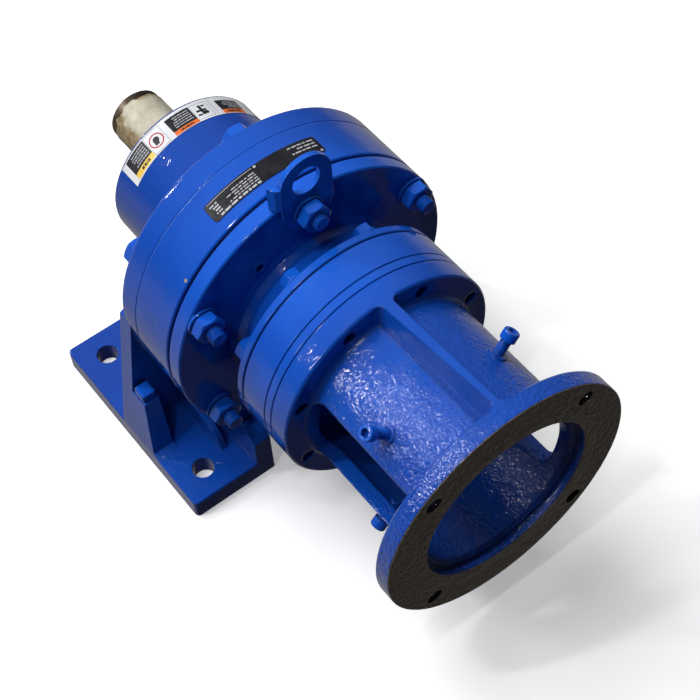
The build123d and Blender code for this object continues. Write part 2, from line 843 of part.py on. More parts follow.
save("output_shaft", place(output_shaft()))
save("intermediate_shaft", place(intermediate_shaft()))
save("input_shaft", place(input_shaft()))

slow_pin_places = ring_of(OUT_PIN_COUNT_2, OUT_PIN_CIRCLE_2, STAGE_ANGLE)
fast_pin_places = ring_of(OUT_PIN_COUNT_1, OUT_PIN_CIRCLE_1, STAGE_ANGLE)
save("output_pins", place(gather([rod(OUT_PIN_R_2, 7.0, 47.4, p) for p in slow_pin_places])))
save("intermediate_pins", place(gather([rod(OUT_PIN_R_1, 80.0, 111.0, p) for p in fast_pin_places])))
slow_rollers = [tube(OUT_ROLLER_R_2, OUT_PIN_R_2 + SLIP, 24.0, 46.0, p) for p in slow_pin_places]
fast_rollers = [tube(OUT_ROLLER_R_1, OUT_PIN_R_1 + SLIP, 94.2, 110.0, p) for p in fast_pin_places]
save("output_pin_rollers", place(gather(slow_rollers)))
save("intermediate_pin_rollers", place(gather(fast_rollers)))
save("slow_cam_needles", place(needles(CAM_R_2, NEEDLE_R_2, ECC_2, DISC_2, 14)))
save("fast_cam_needles", place(needles(CAM_R_1, NEEDLE_R_1, ECC_1, DISC_1, 12)))

bearings = {
    "output_rear": (22.5, 42.5, 6.0, -66.0, 19.0, 10),
    "output_front": (27.5, 50.0, 6.8, -18.0, 21.0, 11),
    "intermediate": (15.0, 31.0, 4.7, 60.0, 16.0, 9),
    "input": (10.0, 23.5, 3.9, 115.4, 14.0, 9),
}
for name, sizes in bearings.items():
    race, inner, balls = ball_bearing(*sizes)
    save(f"{name}_outer_race", place(race))
    save(f"{name}_inner_race", place(inner))
    save(f"{name}_balls", place(balls))

save("output_spacer", place(tube(29.0, 24.0 + SLIP, -46.9, -18.1)))
save("output_spigot_bush", place(tube(14.0 - SLIP, 10.04, 8.0, 20.0)))
save("input_spigot_bush", place(tube(11.0 - SLIP, 8.04, 82.0, 90.5)))

output_seal = turned([
    (33.0 - SLIP, -77.4),
    (33.0 - SLIP, -68.4),
    (30.5, -68.4),
    (30.5, -75.0),
    (23.5, -75.0),
    (22.0, -69.5),
    (20.3, -72.0),
    (21.0, -77.4),
])
save("output_seal", place(output_seal))
input_seal = turned([
    (17.0 - SLIP, 130.0),
    (17.0 - SLIP, 135.6),
    (10.9, 135.6),
    (10.3, 132.0),
    (11.6, 130.6),
    (12.2, 133.8),
    (15.4, 133.8),
    (15.4, 130.0),
])
save("input_seal", place(input_seal))

save("casing_gasket", place(tube(R_DRUM - 0.35, 76.6, X_CASING_FRONT, X_CASING_FRONT + 0.6)
     - gather([rod(5.8, 10, 20, p) for p in through_places()])))
save("cover_gasket", place(tube(R_DRUM - 2.6, 76.6, X_GEAR2_FRONT, X_COVER_REAR)
     - gather([rod(5.8, 45, 55, p) for p in through_places()])))
save("fast_gasket", place(tube(R_SMALL - 1.4, 59.2, X_SMALL_FRONT, X_GEAR1_REAR)
     - gather([rod(4.8, 90, 95, p) for p in adapter_places()])))
save("cover_shim", place(tube(R_SMALL - 0.9, 59.2, X_GEAR1_FRONT, X_BEARING_COVER)
     - gather([rod(4.8, 110, 116, p) for p in adapter_places()])))
save("lantern_shim", place(tube(R_SMALL - 0.9, 54.0, X_LANTERN_REAR - 0.4, X_LANTERN_REAR)
     - gather([rod(4.8, 118, 122, p) for p in adapter_places()])))

save("through_bolts", place(gather([through_bolt(p) for p in through_places()])))
save("through_washers", place(gather([through_washer(p) for p in through_places()])))
save("through_nuts", place(gather([through_nut(p) for p in through_places()])))
save("adapter_bolts", place(gather([adapter_bolt(p) for p in adapter_places()])))
save("access_screws", place(gather([access_screw(a, top) for a, top in ACCESS_SCREWS])))

save("lifting_lug", place(lifting_lug()))
level_plug = Pos(PLUG_AT[0], PLUG_AT[1], X_COVER_FRONT - 7) * socket_plug(5.45, 7.8, 5)
save("level_plug", place(level_plug))
drain_plug = radial(Pos(0, 0, 89) * socket_plug(5.95, 8.4, 6), DRAIN_ANGLE, DRAIN_X)
save("drain_plug", place(drain_plug))
save("nameplate", place(nameplate()))
save("label_band", place(sector(R_NOSE + 0.3, R_NOSE + 0.02, -75.8, -57.6, 28.0, 145.0)))
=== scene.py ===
import json
import math
import random

import bmesh
import bpy
from mathutils import Matrix, Vector

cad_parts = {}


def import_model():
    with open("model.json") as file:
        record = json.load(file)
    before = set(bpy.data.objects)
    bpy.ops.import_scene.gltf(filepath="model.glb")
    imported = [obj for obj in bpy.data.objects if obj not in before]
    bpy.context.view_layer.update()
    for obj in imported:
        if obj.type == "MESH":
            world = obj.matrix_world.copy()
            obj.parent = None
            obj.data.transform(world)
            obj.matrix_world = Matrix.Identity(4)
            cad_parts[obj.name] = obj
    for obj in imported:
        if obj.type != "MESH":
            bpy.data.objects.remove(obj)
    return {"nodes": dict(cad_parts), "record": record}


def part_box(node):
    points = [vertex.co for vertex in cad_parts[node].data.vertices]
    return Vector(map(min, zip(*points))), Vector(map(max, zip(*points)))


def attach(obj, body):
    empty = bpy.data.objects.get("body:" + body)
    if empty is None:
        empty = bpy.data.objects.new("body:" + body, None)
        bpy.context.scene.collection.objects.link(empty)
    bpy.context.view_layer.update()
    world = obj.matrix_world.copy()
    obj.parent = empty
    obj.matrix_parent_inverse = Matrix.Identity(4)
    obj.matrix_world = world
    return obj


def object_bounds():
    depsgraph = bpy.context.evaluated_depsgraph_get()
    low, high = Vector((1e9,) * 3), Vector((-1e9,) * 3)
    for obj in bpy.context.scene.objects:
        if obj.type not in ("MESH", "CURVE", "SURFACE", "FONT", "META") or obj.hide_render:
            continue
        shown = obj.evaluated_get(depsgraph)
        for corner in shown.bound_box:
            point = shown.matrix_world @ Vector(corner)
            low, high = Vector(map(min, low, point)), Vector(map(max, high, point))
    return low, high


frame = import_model()
CAD_LOW, CAD_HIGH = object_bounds()

# ---------------------------------------------------------------- places read from the frame
NODES = frame["nodes"]
MM = 0.001


def span(node, axis):
    low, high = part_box(node)
    return low[axis], high[axis]


SHAFT_LOW, SHAFT_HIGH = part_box("output_shaft")
AXIS_Z = (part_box("output_seal")[0].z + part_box("output_seal")[1].z) / 2
X_C_FACE = span("motor_adapter", 0)[1]
PLATE_LOW, PLATE_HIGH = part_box("nameplate")
CASE_LOW, CASE_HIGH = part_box("gear_housing_slow")
BAND_LOW, BAND_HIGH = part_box("label_band")
R_PLATE = PLATE_HIGH.z - AXIS_Z
R_BAND = BAND_HIGH.z - AXIS_Z
R_SHAFT = 19.0 * MM
X_SEAL = span("output_seal", 0)[0]
X_SHAFT_END = SHAFT_LOW.x

# ---------------------------------------------------------------- camera
camera_data = bpy.data.cameras.new("camera")
camera = bpy.data.objects.new("camera", camera_data)
bpy.context.scene.collection.objects.link(camera)
bpy.context.scene.camera = camera
LOOK_AT = Vector((0.1052, -0.0061, AXIS_Z))
LOOK_AZIMUTH = math.radians(146.35)
LOOK_DOWN = math.radians(55.07)
DISTANCE = 0.968
ROLL = math.radians(4.63)
forward = Vector((
    math.cos(LOOK_AZIMUTH) * math.cos(LOOK_DOWN),
    math.sin(LOOK_AZIMUTH) * math.cos(LOOK_DOWN),
    -math.sin(LOOK_DOWN),
))
level = forward.cross(Vector((0, 0, 1))).normalized()
upright = level.cross(forward)
right = level * math.cos(ROLL) - upright * math.sin(ROLL)
up = right.cross(forward)
turn = Matrix((right, up, -forward)).transposed().to_4x4()
camera.matrix_world = Matrix.Translation(LOOK_AT - forward * DISTANCE) @ turn
camera_data.sensor_width = 36.0
camera_data.lens = 83.65
camera_data.clip_start = 0.01
camera_data.clip_end = 50.0


# ---------------------------------------------------------------- node helpers
EDGE_SAMPLES = 4


class Tree:
    """A material's nodes, built by short calls."""

    def __init__(self, name):
        self.material = bpy.data.materials.new(name)
        self.material.use_nodes = True
        self.nodes = self.material.node_tree.nodes
        self.links = self.material.node_tree.links
        self.nodes.clear()
        self.out = self.nodes.new("ShaderNodeOutputMaterial")
        self.shader = self.nodes.new("ShaderNodeBsdfPrincipled")
        self.links.new(self.shader.outputs[0], self.out.inputs[0])
        self.coords = self.nodes.new("ShaderNodeTexCoord").outputs["Object"]

    def put(self, socket, value):
        if isinstance(value, bpy.types.NodeSocket):
            self.links.new(value, socket)
        else:
            socket.default_value = value

    def set(self, **values):
        for name, value in values.items():
            self.put(self.shader.inputs[name.replace("_", " ")], value)

    def math(self, kind, a, b=0.0):
        node = self.nodes.new("ShaderNodeMath")
        node.operation = kind
        for socket, value in zip(node.inputs, (a, b)):
            self.put(socket, value)
        return node.outputs[0]

    def noise(self, scale, detail=3.0, rough=0.5, vector=None, distort=0.0):
        node = self.nodes.new("ShaderNodeTexNoise")
        node.inputs["Scale"].default_value = scale
        node.inputs["Detail"].default_value = detail
        node.inputs["Roughness"].default_value = rough
        node.inputs["Distortion"].default_value = distort
        self.links.new(vector or self.coords, node.inputs["Vector"])
        return node.outputs["Fac"]

    def ramp(self, value, low, high, out_low=0.0, out_high=1.0):
        node = self.nodes.new("ShaderNodeMapRange")
        node.interpolation_type = "SMOOTHSTEP"
        node.inputs["From Min"].default_value = low
        node.inputs["From Max"].default_value = high
        node.inputs["To Min"].default_value = out_low
        node.inputs["To Max"].default_value = out_high
        self.links.new(value, node.inputs["Value"])
        return node.outputs["Result"]

    def mix(self, share, a, b):
        node = self.nodes.new("ShaderNodeMix")
        node.data_type = "RGBA"
        self.put(node.inputs["Factor"], share)
        for socket, value in ((node.inputs[6], a), (node.inputs[7], b)):
            if not isinstance(value, bpy.types.NodeSocket) and len(value) == 3:
                value = (*value, 1.0)
            self.put(socket, value)
        return node.outputs[2]

    def split(self):
        node = self.nodes.new("ShaderNodeSeparateXYZ")
        self.links.new(self.coords, node.inputs[0])
        return node.outputs

    def radius(self):
        """Distance from the shaft axis."""
        _, y, z = self.split()
        height = self.math("SUBTRACT", z, AXIS_Z)
        square = self.math("ADD", self.math("MULTIPLY", y, y), self.math("MULTIPLY", height, height))
        return self.math("SQRT", square)

    def stretched(self, scale):
        node = self.nodes.new("ShaderNodeVectorMath")
        node.operation = "MULTIPLY"
        node.inputs[1].default_value = scale
        self.links.new(self.coords, node.inputs[0])
        return node.outputs[0]

    def round_edges(self, size):
        node = self.nodes.new("ShaderNodeBevel")
        node.samples = EDGE_SAMPLES
        node.inputs["Radius"].default_value = size
        return node.outputs[0]

    def bump(self, height, strength, distance, normal=None):
        node = self.nodes.new("ShaderNodeBump")
        self.put(node.inputs["Strength"], strength)
        node.inputs["Distance"].default_value = distance
        self.links.new(height, node.inputs["Height"])
        if normal is not None:
            self.links.new(normal, node.inputs["Normal"])
        return node.outputs[0]

    def corners(self, distance):
        node = self.nodes.new("ShaderNodeAmbientOcclusion")
        node.samples = EDGE_SAMPLES
        node.inputs["Distance"].default_value = distance
        return node.outputs["AO"]


BLUE = (0.0055, 0.0900, 0.530)
BLUE_DEEP = (0.0045, 0.0680, 0.440)
BLUE_SHADOW = (0.0030, 0.0160, 0.120)
# colour of painted shade laid over whole regions of the blue
BLUE_PAINTED_SHADE = (0.0040, 0.0400, 0.270)
PRIMER = (0.30, 0.22, 0.15)
IRON_DARK = (0.190, 0.142, 0.090)
IRON_PALE = (0.360, 0.285, 0.195)
IRON_SHINE = (0.460, 0.390, 0.300)
RUST = (0.130, 0.060, 0.024)
# near-black painted shade inside the motor flange's bolt holes
HOLE_PAINTED_SHADE = (0.012, 0.012, 0.016)

# motor flange: how deep the bare face goes, where it starts, and the band that holds the bolt holes
BARE_DEPTH = 0.45 * MM
R_BARE = 57.2 * MM
HOLE_DEPTH = 11.4 * MM
HOLE_BAND = (66.5 * MM, 82.5 * MM)
RIM_SKIN = (14 * MM, 11 * MM)

# lantern: radii between which its rough barrel turns into smooth flange
BARREL_EDGE = (64 * MM, 70 * MM)

# chip in the paint: ragged edge, then the radii where primer starts to give way to paint
CHIP_RAGGED = 1.2 * MM
CHIP_INNER = 1.6 * MM
CHIP_OUTER = 1.9 * MM


def enamel(name, peel=0.35, cast=None, bare_face=False, chip=None, painted_shade=None, soft=0.8 * MM):
    """Glossy blue machine enamel, with painted shade darkening its corners. cast is a function of the tree
    that gives where the skin is rough; a shade function, if given, gives where painted shade deepens the
    blue.
    """
    t = Tree(name)
    cloud = t.noise(11.0, 3.0, 0.5)
    colour = t.mix(t.ramp(cloud, 0.34, 0.66), BLUE_DEEP, BLUE)
    # painted shade: the blue darkens in corners and creases, found by ambient occlusion
    painted_corner_shade = t.ramp(t.corners(4 * MM), 0.30, 0.80, 1.0, 0.0)
    painted_corner_shade = t.math("MULTIPLY", painted_corner_shade, t.ramp(t.noise(120.0, 3.0, 0.6), 0.3, 0.7, 0.55, 0.95))
    colour = t.mix(painted_corner_shade, colour, BLUE_SHADOW)
    # painted shade over whole regions: the blue deepens where the given function says
    if painted_shade:
        colour = t.mix(painted_shade(t), colour, BLUE_PAINTED_SHADE)
    film = t.ramp(t.noise(26.0, 5.0, 0.7, t.stretched((1.0, 2.2, 1.3))), 0.56, 0.80)
    gloss = t.ramp(t.noise(70.0, 3.0, 0.6), 0.3, 0.75, 0.05, 0.11)
    rough = t.math("ADD", gloss, t.math("MULTIPLY", film, 0.10))

    # orange peel over everything, coarse cast skin where the mask says
    small = t.noise(520.0, 1.0, 0.5)
    swell = t.noise(120.0, 2.0, 0.5)
    fine = t.math("MULTIPLY", small, 0.30 * peel)
    height = t.math("ADD", fine, t.math("MULTIPLY", swell, 0.9 * peel))
    if cast:
        pits = t.noise(460.0, 1.0, 0.5, distort=0.8)
        lumps = t.noise(240.0, 1.0, 0.5, distort=0.6)
        skin = t.math("ADD", t.math("MULTIPLY", pits, 1.5), t.math("MULTIPLY", lumps, 1.4))
        height = t.math("ADD", height, t.math("MULTIPLY", skin, cast(t)))
    normal = t.bump(height, 0.6, 1.0 * MM, t.round_edges(soft))
    bare_metal = 0.0
    if chip:
        near = t.nodes.new("ShaderNodeVectorMath")
        near.operation = "DISTANCE"
        t.links.new(t.coords, near.inputs[0])
        near.inputs[1].default_value = chip
        wander = t.math("MULTIPLY", t.noise(900.0, 2.0, 0.6), CHIP_RAGGED)
        ragged = t.math("ADD", near.outputs["Value"], wander)
        bare = t.ramp(ragged, CHIP_INNER, CHIP_OUTER, 1.0, 0.0)
        colour = t.mix(bare, colour, PRIMER)
        rough = t.math("ADD", rough, t.math("MULTIPLY", bare, 0.4))
    if bare_face:
        x = t.split()[0]
        r = t.radius()
        face = t.math("GREATER_THAN", x, X_C_FACE - BARE_DEPTH)
        face = t.math("MULTIPLY", face, t.math("GREATER_THAN", r, R_BARE))
        ring = t.nodes.new("ShaderNodeCombineXYZ")
        t.links.new(t.math("MULTIPLY", r, 2600.0), ring.inputs[0])
        lathe = t.noise(1.0, 2.0, 0.6, ring.outputs[0])
        blot = t.noise(45.0, 5.0, 0.62)
        iron = t.mix(t.ramp(blot, 0.3, 0.72), IRON_DARK, IRON_PALE)
        # turning rings: real marks on the face, painted lighter as a sheen
        iron = t.mix(t.math("MULTIPLY", t.ramp(lathe, 0.4, 0.75), 0.35), iron, IRON_SHINE)
        rust = t.ramp(t.noise(120.0, 4.0, 0.7), 0.60, 0.74)
        iron = t.mix(t.math("MULTIPLY", rust, 0.45), iron, RUST)
        # painted shade: the walls of the bolt holes are painted near-black
        deep = t.math("GREATER_THAN", x, X_C_FACE - HOLE_DEPTH)
        inside = t.math("MULTIPLY", deep, t.math("GREATER_THAN", r, HOLE_BAND[0]))
        inside = t.math("MULTIPLY", inside, t.math("LESS_THAN", r, HOLE_BAND[1]))
        colour = t.mix(inside, colour, HOLE_PAINTED_SHADE)
        colour = t.mix(face, colour, iron)
        left = t.math("MULTIPLY", rough, t.math("SUBTRACT", 1.0, face))
        rough = t.math("ADD", left, t.math("MULTIPLY", face, t.ramp(blot, 0.3, 0.7, 0.42, 0.58)))
        bare_metal = t.math("MULTIPLY", face, 0.15)
    t.set(Base_Color=colour, Roughness=rough, Metallic=bare_metal, Normal=normal)
    t.set(Coat_Weight=0.50, Coat_Roughness=0.03, Coat_Normal=normal, Specular_IOR_Level=0.5)
    return t.material


def lantern_skin(t):
    """Rough on the barrel, inside the bore and on the motor flange's rim, smooth on the turned flange."""
    x = t.split()[0]
    r = t.radius()
    tube = t.ramp(r, *BARREL_EDGE, 1.0, 0.0)
    barrel = t.math("MULTIPLY", tube, t.ramp(x, 134 * MM, 215 * MM, 0.30, 1.0))
    rim = t.math("MULTIPLY", t.ramp(x, X_C_FACE - RIM_SKIN[0], X_C_FACE - RIM_SKIN[1]), 0.75)
    return t.math("MAXIMUM", t.math("MAXIMUM", barrel, rim), 0.10)


def casing_skin(t):
    """Fine cast skin, rougher low down on the foot's walls."""
    z = t.split()[2]
    return t.ramp(z, 0.02, 0.12, 0.22, 0.06)


def nose_painted_shade(t):
    """Painted shade: the blue gets darker towards the nose and low down on the foot under the drum."""
    x, _, z = t.split()
    nose = t.ramp(x, -0.045, 0.012, 0.85, 0.45)
    foot = t.ramp(z, 0.020, 0.070, 0.70, 0.0)
    return t.math("MAXIMUM", nose, foot)


def drum_painted_shade(t):
    """Painted shade: slightly deeper blue on the big drum than on the lantern."""
    return t.ramp(t.split()[0], 0.0, 0.085, 0.45, 0.0)


def lantern_painted_shade(t):
    """Painted shade: deeper blue on the lantern's barrel than on its rear flange."""
    return t.ramp(t.split()[0], 0.115, 0.140, 0.10, 0.45)


def machined_skin(t):
    """A few streaks left by the brush on the turned rims."""
    return t.ramp(t.noise(60.0, 2.0, 0.5), 0.55, 0.75, 0.03, 0.16)


def metal(name, colour_a, colour_b, rough):
    """Turned steel or bronze, with painted shade in the corners."""
    t = Tree(name)
    blot = t.noise(60.0, 4.0, 0.6)
    colour = t.mix(t.ramp(blot, 0.3, 0.7), colour_a, colour_b)
    marks = t.noise(600.0, 2.0, 0.5, t.stretched((1.0, 0.05, 0.05)))
    # painted shade: darker in corners and creases, found by ambient occlusion
    painted_crease_shade = t.math("MULTIPLY", t.ramp(t.corners(3 * MM), 0.3, 0.8, 1.0, 0.0), 0.7)
    colour = t.mix(painted_crease_shade, colour, (0.02, 0.016, 0.012))
    t.set(Base_Color=colour, Metallic=1.0, Roughness=t.ramp(t.noise(180.0, 3.0, 0.6), 0.3, 0.7, *rough))
    t.set(Normal=t.bump(marks, 0.25, 0.2 * MM, t.round_edges(0.4 * MM)))
    return t.material


def matte(name, colour_a, colour_b, scale, rough=(0.55, 0.8), strength=0.3, depth=0.3 * MM):
    t = Tree(name)
    colour = t.mix(t.ramp(t.noise(scale * 0.4, 4.0, 0.6), 0.3, 0.7), colour_a, colour_b)
    t.set(Base_Color=colour, Roughness=t.ramp(t.noise(scale, 3.0, 0.6), 0.3, 0.7, *rough))
    t.set(Normal=t.bump(t.noise(scale * 2, 3.0, 0.6), strength, depth))
    return t.material


def print_ink(name, colour, wear=0.5):
    t = Tree(name)
    worn = t.ramp(t.noise(420.0, 4.0, 0.7), 0.30, 0.52)
    dull = tuple(c * (1 - 0.45 * wear) for c in colour)
    rough = t.ramp(t.noise(300.0, 3.0, 0.6), 0.3, 0.7, 0.38, 0.55)
    t.set(Base_Color=t.mix(worn, dull, colour), Roughness=rough)
    t.set(Normal=t.bump(t.noise(900.0, 2.0, 0.5), 0.12, 0.0001))
    return t.material


CHIP_RADIUS = CASE_HIGH.z - AXIS_Z
CHIP_ANGLE = math.radians(139.1)
CHIP_AT = (
    CASE_HIGH.x - 2.7 * MM,
    CHIP_RADIUS * math.cos(CHIP_ANGLE),
    AXIS_Z + CHIP_RADIUS * math.sin(CHIP_ANGLE),
)
blue_machined = enamel("blue_machined_enamel", peel=0.30, cast=machined_skin, painted_shade=drum_painted_shade)
blue_chipped = enamel(
    "blue_chipped_enamel", peel=0.30, cast=machined_skin, chip=CHIP_AT, painted_shade=drum_painted_shade)
blue_casting = enamel("blue_casting_enamel", peel=0.45, cast=casing_skin)
blue_foot = enamel("blue_foot_enamel", peel=0.45, cast=casing_skin, painted_shade=nose_painted_shade)
blue_hardware = enamel("blue_hardware_enamel", peel=0.25)
blue_lantern = enamel(
    "blue_lantern_enamel", peel=0.35, cast=lantern_skin, bare_face=True,
    painted_shade=lantern_painted_shade, soft=1.6 * MM)
blue_line = matte("painted_joint_line", (0.010, 0.080, 0.420), (0.014, 0.100, 0.500), 300.0, (0.30, 0.50))
# dark blue on the gaskets and shims in the joints: their paint, darkened as painted shade of the grooves
blue_groove_shade = matte("gasket_paint_and_painted_shade", (0.003, 0.010, 0.060), (0.006, 0.022, 0.130), 300.0, (0.35, 0.55))
shaft_steel = metal("oiled_shaft_steel", (0.11, 0.080, 0.055), (0.20, 0.155, 0.115), (0.32, 0.55))
tool_steel = metal("ground_tool_steel", (0.42, 0.41, 0.40), (0.55, 0.54, 0.52), (0.18, 0.32))
bearing_steel = metal("bearing_steel", (0.55, 0.55, 0.56), (0.66, 0.66, 0.66), (0.10, 0.22))
bronze = metal("bearing_bronze", (0.42, 0.22, 0.08), (0.56, 0.33, 0.13), (0.30, 0.48))
rubber = matte("seal_rubber", (0.012, 0.012, 0.013), (0.022, 0.021, 0.020), 240.0)
gasket = matte("gasket_sealant", (0.012, 0.012, 0.016), (0.035, 0.022, 0.014), 300.0)
plate_black = matte(
    "plate_black", (0.006, 0.006, 0.009), (0.014, 0.014, 0.018), 260.0, (0.24, 0.36), 0.12, 0.1 * MM)
paper = matte(
    "label_paper", (0.52, 0.53, 0.56), (0.64, 0.645, 0.67), 130.0, (0.35, 0.5), 0.10, 0.1 * MM)
FINISHES = {
    "blue_casting": blue_casting,
    "blue_machined": blue_machined,
    "blue_hardware": blue_hardware,
    "shaft_steel": shaft_steel,
    "tool_steel": tool_steel,
    "bearing_steel": bearing_steel,
    "bronze": bronze,
    "seal_rubber": rubber,
    "gasket": gasket,
    "plate_black": plate_black,
    "label_white": paper,
}


def dress(node, material):
    mesh = node.data
    mesh.materials.clear()
    mesh.materials.append(material)
    mesh.polygons.foreach_set("material_index", [0] * len(mesh.polygons))


for entry in frame["record"]["subparts"]:
    dress(NODES[entry["node"]], FINISHES[entry["material_slot"]])
dress(NODES["motor_adapter"], blue_lantern)
dress(NODES["gear_housing_slow"], blue_chipped)
dress(NODES["slow_casing"], blue_foot)
dress(NODES["casing_gasket"], blue_line)
# the gaskets and shims deep in the joints get the dark blue with painted groove shade
for name in ("cover_gasket", "fast_gasket", "cover_shim", "lantern_shim"):
    dress(NODES[name], blue_groove_shade)


# ---------------------------------------------------------------- sheets wrapped round the shaft axis
def new_piece(name, mesh, material, body="housing"):
    piece = bpy.data.objects.new(name, mesh)
    bpy.context.scene.collection.objects.link(piece)
    mesh.materials.append(material)
    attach(piece, body)
    return piece


def wrapped(name, outlines, radius, thick, material, step=1.0 * MM):
    """Thin film on a cylinder. Outlines are lists of (angle in degrees from +Y towards +Z, x in metres)."""
    bm = bmesh.new()
    for outline in outlines:
        points = [(math.radians(a) * radius, x) for a, x in outline]
        face = bm.faces.new([bm.verts.new((u, x, 0.0)) for u, x in points])
        low = min(u for u, _ in points)
        high = max(u for u, _ in points)
        geometry = [face] + list(face.edges) + list(face.verts)
        cut = low + step
        while cut < high - 1e-6:
            made = bmesh.ops.bisect_plane(bm, geom=geometry, plane_co=(cut, 0, 0), plane_no=(1, 0, 0))
            geometry = made["geom"]
            cut += step
    bmesh.ops.triangulate(bm, faces=[f for f in bm.faces if len(f.verts) > 4])
    bmesh.ops.recalc_face_normals(bm, faces=bm.faces)
    low_faces = list(bm.faces)
    made = bmesh.ops.extrude_face_region(bm, geom=low_faces)
    for vertex in (v for v in made["geom"] if isinstance(v, bmesh.types.BMVert)):
        vertex.co.z += thick
    for vertex in bm.verts:
        u, x, lift = vertex.co
        angle = u / radius
        reach = radius + lift
        vertex.co = (x, reach * math.cos(angle), AXIS_Z + reach * math.sin(angle))
    bmesh.ops.recalc_face_normals(bm, faces=bm.faces)
    mesh = bpy.data.meshes.new(name)
    bm.to_mesh(mesh)
    bm.free()
    return new_piece(name, mesh, material)


def block(angle_low, angle_high, x_low, x_high):
    return [(angle_low, x_low), (angle_low, x_high), (angle_high, x_high), (angle_high, x_low)]


def disc(angle, x, size, radius, count=28):
    degrees = math.degrees(size / radius)
    steps = [2 * math.pi * i / count for i in range(count)]
    return [(angle + degrees * math.cos(s), x + size * math.sin(s)) for s in steps]


def ring_pieces(angle, x, outer, inner, radius, count=36):
    """A flat ring as a fan of short quads."""
    made = []
    for i in range(count):
        a, b = (2 * math.pi * k / count for k in (i, i + 1))
        corner = []
        for size, s in ((inner, a), (outer, a), (outer, b), (inner, b)):
            corner.append((angle + math.degrees(size / radius) * math.cos(s), x + size * math.sin(s)))
        made.append(corner)
    return made


# ---------------------------------------------------------------- label band: plain blocks, bars, shapes
FILM = 0.06 * MM
INK = 0.03 * MM


def bars(angle_low, angle_high, rows, x_low, x_high, chooser, gap=0.45):
    """Rows of short dashes that stand for small print."""
    made = []
    pitch = (x_high - x_low) / rows
    for row in range(rows):
        start = x_low + pitch * (row + gap / 2)
        stop = x_low + pitch * (row + 1 - gap / 2)
        angle = angle_low
        end = angle_high - chooser.random() * 0.35 * (angle_high - angle_low)
        while angle < end - 0.4:
            length = min(chooser.uniform(0.8, 2.6), end - angle)
            made.append(block(angle, angle + length, start, stop))
            angle += length + chooser.uniform(0.35, 0.6)
    return made


ink_black = print_ink("label_black", (0.010, 0.011, 0.014), 0.3)
ink_white = print_ink("label_white_bars", (0.40, 0.41, 0.43), 0.6)
ink_orange = print_ink("label_orange", (0.62, 0.13, 0.025), 0.4)
ink_yellow = print_ink("label_yellow", (0.72, 0.47, 0.07), 0.4)
ink_red = print_ink("label_red", (0.38, 0.035, 0.045), 0.3)
ink_grey = print_ink("label_grey", (0.16, 0.17, 0.19), 0.4)


def x_at(millimetres):
    return millimetres * MM


# every panel: two angles, then where its black block and its coloured strip start and stop along the axis
PANELS = [
    (121.0, 140.0, -74.5, -62.6, -58.6),
    (84.0, 102.4, -73.2, -61.2, -57.9),
    (45.5, 64.2, -71.5, -62.0, -58.0),
]
RING_ANGLE, RING_X, RING_SIZE = 113.9, -66.2, 5.4 * MM
PICTURE = (71.0, 83.4, -73.0, -59.2)

chooser = random.Random(7)
label_blocks = [block(a, b, x_at(low), x_at(mid)) for a, b, low, mid, _ in PANELS]
wrapped("label_blocks", label_blocks, R_BAND, FILM, ink_black)
small_print = []
strip_marks = []
for a, b, low, mid, high in PANELS:
    small_print += bars(a + 1.5, b - 3.0, 5, x_at(low + 1.2), x_at(mid - 1.2), chooser, 0.62)
    strip_marks += bars(a + 4.0, b - 2.5, 1, x_at(mid + 0.8), x_at(high - 0.8), chooser, 0.2)
wrapped("label_small_print", small_print, R_BAND + FILM, INK, ink_white)
wrapped("label_strip_marks", strip_marks, R_BAND + FILM, INK, ink_black)
first, *others = PANELS
yellow = [block(first[0], first[1], x_at(first[3]), x_at(first[4]))]
orange = [block(a, b, x_at(mid), x_at(high)) for a, b, _, mid, high in others]
wrapped("label_strip_yellow", yellow, R_BAND, FILM, ink_yellow)
wrapped("label_strips_orange", orange, R_BAND, FILM, ink_orange)
ring = ring_pieces(RING_ANGLE, x_at(RING_X), RING_SIZE, RING_SIZE - 0.95 * MM, R_BAND)
wrapped("label_ring", ring, R_BAND, FILM, ink_red)
emblem = [
    disc(RING_ANGLE, x_at(RING_X - 0.6), 2.3 * MM, R_BAND),
    block(RING_ANGLE - 1.0, RING_ANGLE + 2.4, x_at(RING_X + 0.4), x_at(RING_X + 3.2)),
    block(74.0, 81.5, x_at(-67.0), x_at(-65.4)),
    block(76.4, 78.4, x_at(-71.0), x_at(-62.0)),
    disc(75.3, x_at(-63.6), 1.6 * MM, R_BAND),
    block(79.0, 82.0, x_at(-63.4), x_at(-62.0)),
    block(73.4, 76.0, x_at(-70.4), x_at(-69.2)),
]
wrapped("label_emblems", emblem, R_BAND, FILM, ink_black)
hair = 0.25
left_low, left_high = x_at(-74.6), x_at(-58.6)
hairlines = [
    block(107.0, 107.0 + hair, left_low, left_high),
    block(120.3, 120.3 + hair, left_low, left_high),
    block(107.0, 120.3, left_high, left_high + 0.25 * MM),
    block(107.0, 120.3, left_low, left_low + 0.25 * MM),
    block(PICTURE[0], PICTURE[0] + hair, x_at(PICTURE[2]), x_at(PICTURE[3])),
    block(PICTURE[1], PICTURE[1] + hair, x_at(PICTURE[2]), x_at(PICTURE[3])),
    block(PICTURE[0], PICTURE[1], x_at(PICTURE[3]), x_at(PICTURE[3] + 0.25)),
    block(PICTURE[0], PICTURE[1], x_at(PICTURE[2]), x_at(PICTURE[2] + 0.25)),
    block(68.5, 68.5 + hair, left_low, left_high),
]
wrapped("label_hairlines", hairlines, R_BAND, FILM * 0.8, ink_grey)
edge_line = [block(28.2, 144.8, BAND_LOW.x, BAND_LOW.x + 0.5 * MM)]
wrapped("label_edge_line", edge_line, R_BAND, FILM * 0.8, ink_grey)

# ---------------------------------------------------------------- nameplate print: rows of short dashes
plate_x0, plate_x1 = PLATE_LOW.x, PLATE_HIGH.x


def plate_x(share):
    return plate_x0 + share * (plate_x1 - plate_x0)


